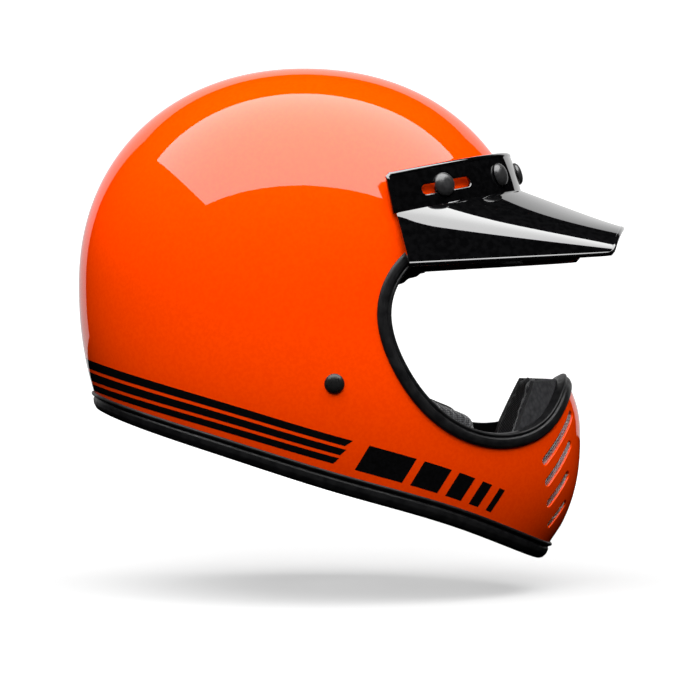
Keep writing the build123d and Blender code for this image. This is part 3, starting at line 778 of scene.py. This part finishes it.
grid = bill_surface()
gn = surface_normals(grid)
COLS = grid.shape[1]
if gn[ROWS // 2, COLS // 2, 2] < 0:
    gn = -gn
low = grid - gn * BAND_WALL
verts = [Vector(p) for p in grid.reshape(-1, 3)] + [Vector(p) for p in low.reshape(-1, 3)]
faces = grid_faces(ROWS, COLS)
faces += [tuple(ROWS * COLS + k for k in f[::-1]) for f in faces]
rim = [(0, j) for j in range(COLS)] + [(i, COLS - 1) for i in range(1, ROWS)]
rim += [(ROWS - 1, j) for j in range(COLS - 2, -1, -1)] + [(i, 0) for i in range(ROWS - 2, 0, -1)]
ids = [i * COLS + j for i, j in rim]
faces += [(ids[k], ids[(k + 1) % len(ids)], ROWS * COLS + ids[(k + 1) % len(ids)], ROWS * COLS + ids[k])
          for k in range(len(ids))]


def tidy_normals(obj):
    """Welds points that coincide and turns all faces outward."""
    bm = bmesh.new()
    bm.from_mesh(obj.data)
    bmesh.ops.remove_doubles(bm, verts=list(bm.verts), dist=0.00002)
    bmesh.ops.recalc_face_normals(bm, faces=list(bm.faces))
    bm.to_mesh(obj.data)
    bm.free()
    return obj


def soft_edges(obj, angle=35):
    """Smooth shading with sharp edges kept above an angle."""
    bpy.context.view_layer.objects.active = obj
    for o in bpy.context.selected_objects:
        o.select_set(False)
    obj.select_set(True)
    bpy.ops.object.shade_smooth_by_angle(angle=radians(angle))
    obj.select_set(False)
    return obj


bill = soft_edges(tidy_normals(new_object("peak_bill", verts, faces, "peak", ["visor"])))
dress(bill, peak_black)

# the band, as a flat map of (angle, height share) with its five openings left free
BAND_SCALE, BAND_TALL = 140.0, 26.0
SLOT, HOLE, SLOT_AHEAD, SLOT_LIP, SLOT_LIP_STEPS, SLOT_DROP = (40.0, 6.2), (6.3, 6.2), 3.6, 0.9, 4, 0.03
OUTER_TURN = 0.7
band_outline = [(a * BAND_SCALE, 0.0) for a in np.linspace(-REAR_A, REAR_A, 161)]
band_outline += [(REAR_A * BAND_SCALE, BAND_TALL * t) for t in np.linspace(0, 1, 13)[1:]]
band_outline += [(a * BAND_SCALE, BAND_TALL) for a in np.linspace(REAR_A, -REAR_A, 161)[1:]]
band_outline += [(-REAR_A * BAND_SCALE, BAND_TALL * t) for t in np.linspace(1, 0, 13)[1:-1]]


def band_frame(a, t):
    """Point of the band, its steps for each mm along both axes of the flat map, and the outward normal."""
    e = 0.01
    o = band_point(a, t)
    x = band_point(a + e, t) - band_point(a - e, t)
    y = band_point(a, t + e) - band_point(a, t - e)
    return o, x / (2 * e * BAND_SCALE), y / (2 * e * BAND_TALL), x.cross(y).normalized()


slot_rows = []
for a in SNAP_TURNS:
    t = SNAP_T - SLOT_DROP
    _, ex, ey, _ = band_frame(a, t)
    is_outer = abs(a) > OUTER_TURN
    length, width = SLOT if is_outer else HOLE
    ahead = -SLOT_AHEAD / ex.length * (1 if a > 0 else -1) if is_outer else 0.0
    rows = []
    for k in range(SLOT_LIP_STEPS + 1):
        phi = pi / 2 * k / SLOT_LIP_STEPS
        grow = SLOT_LIP * (1 - sin(phi))
        rows.append(([(a * BAND_SCALE + ahead + u / ex.length, t * BAND_TALL + v / ey.length)
                      for u, v in stadium(length + 2 * grow, width + 2 * grow)], SLOT_LIP * (1 - cos(phi))))
    rows.append((rows[-1][0], BAND_WALL))
    slot_rows.append(rows)
gx, gy = np.meshgrid(np.arange(-REAR_A * BAND_SCALE, REAR_A * BAND_SCALE, 2.6), np.arange(0, 26.01, 2.2))
flat_grid = np.stack([gx.ravel(), gy.ravel()], 1)
points, tris, counts = fill(flat_grid, band_outline, [r[0][0] for r in slot_rows], 1.1)


def band_at(u, v, depth):
    """Point of the band from its place in the flat map, sunk along the normal."""
    a, t = u / BAND_SCALE, v / BAND_TALL
    return band_point(a, t) - band_frame(a, min(0.99, max(0.01, t)))[3] * depth


size = len(points)
verts = [band_at(u, v, 0) for u, v in points] + [band_at(u, v, BAND_WALL) for u, v in points]
faces = [tuple(int(k) for k in t) for t in tris] + [tuple(size + int(k) for k in t[::-1]) for t in tris]
n0 = counts[0]
faces += [(k, (k + 1) % n0, size + (k + 1) % n0, size + k) for k in range(n0)]
start = n0
for rows in slot_rows:
    n = len(rows[0][0])
    above = list(range(start, start + n))
    bottom = [size + k for k in above]
    start += n
    for row, depth in rows[1:-1]:
        below = list(range(len(verts), len(verts) + n))
        verts += [band_at(u, v, depth) for u, v in row]
        faces += [(above[j], above[(j + 1) % n], below[(j + 1) % n], below[j]) for j in range(n)]
        above = below
    faces += [(above[j], above[(j + 1) % n], bottom[(j + 1) % n], bottom[j]) for j in range(n)]
band = soft_edges(tidy_normals(new_object("peak_band", verts, faces, "peak")))
dress(band, peak_black)


def around(b, c, k, sides):
    """Direction k of a full turn in the plane of two unit vectors."""
    return b * cos(2 * pi * k / sides) + c * sin(2 * pi * k / sides)


def bead(name, points, radius, body, spacing=2.5, sides=12):
    """Round bead along an open row of points."""
    points = [Vector(p) for p in even([tuple(p) for p in points], spacing)]
    n = len(points)
    verts = []
    up = Vector((0, 0, 1))
    for i, p in enumerate(points):
        t = (points[min(n - 1, i + 1)] - points[max(0, i - 1)]).normalized()
        b = t.cross(up).normalized() if abs(t.dot(up)) < 0.97 else t.cross(Vector((1, 0, 0))).normalized()
        c = b.cross(t)
        verts += [p + around(b, c, k, sides) * radius for k in range(sides)]
    return tidy_normals(new_object(name, verts, grid_faces(n, sides, False, True), body))


rim_mid = (grid + low) / 2
top_seats = [(REAR_A, t) for t in np.linspace(0, 1, 9)]
top_seats += [(a, 1.0) for a in np.linspace(REAR_A, -REAR_A, 161)[1:]]
top_seats += [(-REAR_A, t) for t in np.linspace(1, 0, 9)[1:]]
top_edge = [band_at(a * BAND_SCALE, BAND_TALL * t, BAND_WALL / 2) for a, t in top_seats]
dress(bead("peak_top_lip", top_edge, 1.9, "peak"), peak_black)
bill_edge = [Vector(rim_mid[i, 0]) for i in range(ROWS)]
bill_edge += [Vector(rim_mid[ROWS - 1, j]) for j in range(1, COLS)]
bill_edge += [Vector(rim_mid[i, COLS - 1]) for i in range(ROWS - 2, -1, -1)]
dress(bead("peak_bill_lip", bill_edge, 1.7, "peak"), peak_black)


# ------------------------------------------------------------------ turned pieces
def turned(name, profile, origin, axis, body, replaces=(), sides=64):
    """Solid of revolution: profile of (radius, height) from the axis outward and back."""
    axis = Vector(axis).normalized()
    b = axis.orthogonal().normalized()
    c = axis.cross(b)
    verts = [origin + axis * h + around(b, c, k, sides) * r for r, h in profile for k in range(sides)]
    obj = new_object(name, verts, grid_faces(len(profile), sides, False, True), body, replaces)
    return soft_edges(tidy_normals(obj), 40)


CAP_STAND = 1.0
RIVET_X, RIVET_Z = 16.0, -76.0
cap_profile = [(0.001, 3.0), (2.5, 2.95), (4.4, 2.6), (5.8, 1.95), (6.8, 1.1), (7.3, 0.3), (7.4, -0.3),
               (7.0, -0.8), (6.4, -0.7), (3.4, -0.6), (2.9, -0.8), (2.85, -6.6), (2.5, -6.9), (0.001, -6.9)]
for a, name in zip(SNAP_TURNS, SNAP_LABELS):
    o, _, _, nn = band_frame(a, SNAP_T)
    dress(turned(f"cap_{name}", cap_profile, o + nn * CAP_STAND, nn, f"snap_{name}",
                 [f"visor_snap_{name}"]), snap_black)

rivet_profile = [(0.001, 2.9), (2.5, 2.75), (4.4, 2.2), (5.6, 1.3), (6.1, 0.5), (6.0, 0.15), (2.5, 0.1),
                 (2.5, -11.0), (4.4, -11.0), (4.4, -12.2), (0.001, -12.3)]
for side, label in ((-1, "right"), (1, "left")):
    p = skin(RIVET_Z, side * skin_angle(RIVET_X, RIVET_Z))
    dress(turned(f"rivet_{label}", rivet_profile, p, (0, side, 0), "shell",
                 [f"strap_rivet_{label}"]), rivet_black)

# ------------------------------------------------------------------ woven wire screens
WIRE_PITCH, WIRE, WEAVE, WIRE_DEPTH = 1.5, 0.17, 0.17, 1.15
SCREEN_HALF, SCREEN_PAST = 3.4, 1.0


def woven_wire(fr, along, across, reach, offset, turn):
    """Square wire under the skin of the shell, waving over and under the wires that cross it."""
    points, faces = [], []
    for s in range(int(2 * reach / (WIRE_PITCH / 2)) + 1):
        u = -reach + s * WIRE_PITCH / 2
        z, a = drop(fr[0] + along * u + across * offset, fr)
        up = skin_normal(z, a)
        q = skin(z, a) - up * (WIRE_DEPTH - WEAVE * cos(pi * (u / WIRE_PITCH + turn)))
        aside = across - up * across.dot(up)
        points += [q + up * WIRE, q + aside * WIRE, q - up * WIRE, q - aside * WIRE]
    for k in range(0, len(points) - 4, 4):
        faces += [(k + j, k + (j + 1) % 4, k + 4 + (j + 1) % 4, k + 4 + j) for j in range(4)]
    return points, faces


for side, label in ((-1, "right"), (1, "left")):
    verts, faces = [], []
    for i in range(4):
        fr, length = vent_frame(i, side)
        long_half = length / 2 + SCREEN_PAST
        for family, (reach, spread) in enumerate(((long_half, SCREEN_HALF), (SCREEN_HALF, long_half))):
            along, across = (fr[1], fr[2]) if family == 0 else (fr[2], fr[1])
            for k in range(int(2 * spread / WIRE_PITCH) + 1):
                ring, sides = woven_wire(fr, along, across, reach, -spread + k * WIRE_PITCH, k + family)
                faces += [tuple(len(verts) + j for j in f) for f in sides]
                verts += ring
    screen = new_object(f"screen_{label}", verts, faces, "shell", [f"vent_mesh_{label}"])
    dress(screen, wire_metal)

# ------------------------------------------------------------------ padding
def apply_all(obj):
    """Applies every modifier of a piece."""
    bpy.context.view_layer.update()
    deps = bpy.context.evaluated_depsgraph_get()
    mesh = bpy.data.meshes.new_from_object(obj.evaluated_get(deps))
    obj.modifiers.clear()
    obj.data = mesh
    return obj


CLOTH_FRAMES = 20


def stuffed(name, source, body, m, voxel=4.5, pressure=4.0, cap=3.0, shrink=0.6):
    """Padded piece from a CAD solid: remeshed, inflated by cloth pressure with each point's travel capped."""
    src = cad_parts[source]
    obj = bpy.data.objects.new(name, src.data.copy())
    bpy.context.scene.collection.objects.link(obj)
    obj.data.materials.clear()
    rm = obj.modifiers.new("remesh", "REMESH")
    rm.mode, rm.voxel_size = "VOXEL", voxel * MM
    apply_all(obj)
    sm = obj.modifiers.new("soften", "SMOOTH")
    sm.factor, sm.iterations = 0.6, 4
    apply_all(obj)
    rest = np.array([v.co for v in obj.data.vertices])
    nrm = np.array([v.normal for v in obj.data.vertices])
    rest = rest - nrm * shrink * MM
    obj.data.vertices.foreach_set("co", rest.ravel())
    # gravity is off, so the pad swells evenly; each point may move no further than the cap
    cl = obj.modifiers.new("cloth", "CLOTH")
    cl.settings.use_pressure = True
    cl.settings.uniform_pressure_force = pressure
    cl.settings.effector_weights.gravity = 0
    cl.settings.tension_stiffness = cl.settings.compression_stiffness = 20
    cl.settings.quality = 4
    for f in range(1, CLOTH_FRAMES + 1):
        bpy.context.scene.frame_set(f)
    apply_all(obj)
    bpy.context.scene.frame_set(1)
    now = np.array([v.co for v in obj.data.vertices])
    move = now - rest
    far = np.linalg.norm(move, axis=1, keepdims=True)
    now = rest + move * np.minimum(1.0, cap * MM / np.maximum(far, 1e-9))
    obj.data.vertices.foreach_set("co", now.ravel())
    obj.data.polygons.foreach_set("use_smooth", [True] * len(obj.data.polygons))
    sub = obj.modifiers.new("subdivide", "SUBSURF")
    sub.levels = sub.render_levels = 1
    apply_all(obj)
    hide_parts(source)
    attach(obj, body)
    dress(obj, m)


stuffed("brow_padding", "brow_pad", "shell", lining, voxel=4.0, cap=2.5)
stuffed("crown_lining", "crown_pad", "shell", lining, cap=2.0)
stuffed("nape_roll", "neck_roll", "shell", lining)
stuffed("chin_padding", "chin_pad", "shell", lining, voxel=3.0, cap=1.5, shrink=0.2)
for label in ("right", "left"):
    stuffed(f"cheek_padding_{label}", f"cheek_pad_{label}", f"cheek_{label}", lining_mesh, voxel=4.0)

# ------------------------------------------------------------------ carried-over CAD pieces
CARRIED = {"impact_liner": foam, "chin_bar_liner": foam, "cheek_block_right": foam, "cheek_block_left": foam,
           "strap_anchor_plate_right": steel, "strap_anchor_plate_left": steel,
           "strap_hanger_right": webbing, "strap_hanger_left": webbing, "chin_strap": webbing,
           "chin_strap_short": webbing, "d_ring_inner": steel, "d_ring_outer": steel,
           "strap_snap": snap_black, "snap_sockets": steel, "snap_washers": steel}
EDGE_ROUND, EDGE_ANGLE = 0.4, 50
for name, m in CARRIED.items():
    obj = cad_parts[name]
    dress(obj, m)
    if m is not foam:
        bev = obj.modifiers.new("edge", "BEVEL")
        bev.width, bev.segments = EDGE_ROUND * MM, 2
        bev.limit_method, bev.angle_limit = "ANGLE", radians(EDGE_ANGLE)

# ------------------------------------------------------------------ stage, camera and lights
FLOOR = -0.213
FLOOR_FRONT, FLOOR_BACK, FLOOR_HALF, BEND, BACKDROP_TOP = -3.5, 1.6, 5.0, 1.2, 4.0


def stage_plane():
    """Pale floor that curves up into a backdrop, and gives off some light of its own away from the helmet."""
    bend = [(FLOOR_BACK + BEND * sin(t), BEND * (1 - cos(t))) for t in np.linspace(0, pi / 2, 17)]
    path = [(FLOOR_FRONT, 0.0)] + bend + [(FLOOR_BACK + BEND, BACKDROP_TOP)]
    verts = [(x, y, FLOOR + z) for y, z in path for x in (-FLOOR_HALF, FLOOR_HALF)]
    faces = grid_faces(len(path), 2)
    mesh = bpy.data.meshes.new("floor")
    mesh.from_pydata(verts, [], faces)
    mesh.polygons.foreach_set("use_smooth", [True] * len(mesh.polygons))
    obj = bpy.data.objects.new("floor", mesh)
    bpy.context.scene.collection.objects.link(obj)
    m = material("floor", (0.3, 0.3, 0.3), 0.9, spec=0.0)
    vary_color(m, (0.29, 0.29, 0.29), (0.31, 0.31, 0.31), 3)
    glow = node(m, "ShaderNodeMapRange", interpolation_type="SMOOTHSTEP")
    away = node(m, "ShaderNodeVectorMath", operation="LENGTH")
    wire(m, place(m, (1, 1, 0)), away.inputs[0])
    wire(m, away.outputs["Value"], glow.inputs["Value"])
    for socket, value in (("From Min", 0.45), ("From Max", 1.1), ("To Min", 0.52), ("To Max", 1.05)):
        glow.inputs[socket].default_value = value
    surface(m).inputs["Emission Color"].default_value = (1, 1, 1, 1)
    wire(m, glow.outputs["Result"], surface(m).inputs["Emission Strength"])
    obj.data.materials.append(m)
    obj.visible_glossy = False
    obj.visible_diffuse = False


stage_plane()

D, YAW = 1.650, radians(1.5)
FRAME, MM_PER_PIXEL, SENSOR, SHIFT_DOWN = 700, 0.65, 36, 31
cam = bpy.data.cameras.new("camera")
cam.lens = SENSOR * D / (FRAME * MM_PER_PIXEL * MM)
cam.sensor_width = SENSOR
cam.shift_y = -SHIFT_DOWN / FRAME
camera = bpy.data.objects.new("camera", cam)
bpy.context.scene.collection.objects.link(camera)
camera.location = (0.0286 - D * sin(YAW), -D * cos(YAW), -0.037)
camera.rotation_euler = (pi / 2, 0, -YAW)
bpy.context.scene.camera = camera


def area(name, where, at, width, height, watts):
    """Rectangular soft light that faces a point."""
    light = bpy.data.lights.new(name, "AREA")
    light.shape, light.size, light.size_y, light.energy = "RECTANGLE", width, height, watts
    obj = bpy.data.objects.new(name, light)
    bpy.context.scene.collection.objects.link(obj)
    obj.location = where
    obj.rotation_euler = (Vector(at) - Vector(where)).to_track_quat("-Z", "Y").to_euler()
    return obj


area("scrim", (0.0, -0.58, 1.5), (0.0, -0.58, 0.0), 3.4, 2.06, 116)
front = area("front_fill", (-0.1, -2.2, 1.4), (0.02, 0, 0.02), 2.0, 1.2, 44)
front.visible_glossy = False
rear = area("rear_wall", (0.0, 1.7, 0.6), (0.0, 0.0, 0.6), 2.9, 1.6, 10)
rear.visible_camera = False

world = bpy.data.worlds.new("studio")
world.use_nodes = True
world.node_tree.nodes["Background"].inputs["Color"].default_value = (1, 1, 1, 1)
world.node_tree.nodes["Background"].inputs["Strength"].default_value = 0.95
world.cycles_visibility.diffuse = world.cycles_visibility.glossy = False
bpy.context.scene.world = world
bpy.context.scene.view_settings.view_transform = "Standard"
